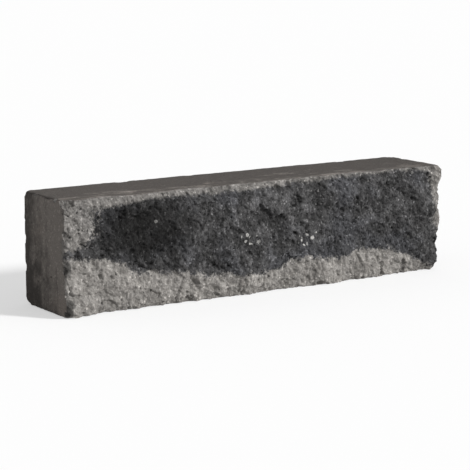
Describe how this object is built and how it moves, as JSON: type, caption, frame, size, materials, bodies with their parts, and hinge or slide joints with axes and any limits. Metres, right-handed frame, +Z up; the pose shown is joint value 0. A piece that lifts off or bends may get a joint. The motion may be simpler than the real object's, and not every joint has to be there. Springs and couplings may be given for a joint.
{
  "type": "split-face wall block",
  "caption": "Long concrete wall block with a rough split front, flat moulded bed, top, ends and back, and worn edges, for dry-laid garden walls.",
  "frame": {"origin": "on the bed face, midway along the block and midway through its depth", "axes": "+X along the wall, +Y into the wall so that the split face looks towards -Y, +Z up"},
  "size_m": [0.6, 0.12, 0.15],
  "materials": {
    "concrete": "matte"
  },
  "bodies": {
    "root": {"wall_block": "concrete"}
  },
  "joints": []
}
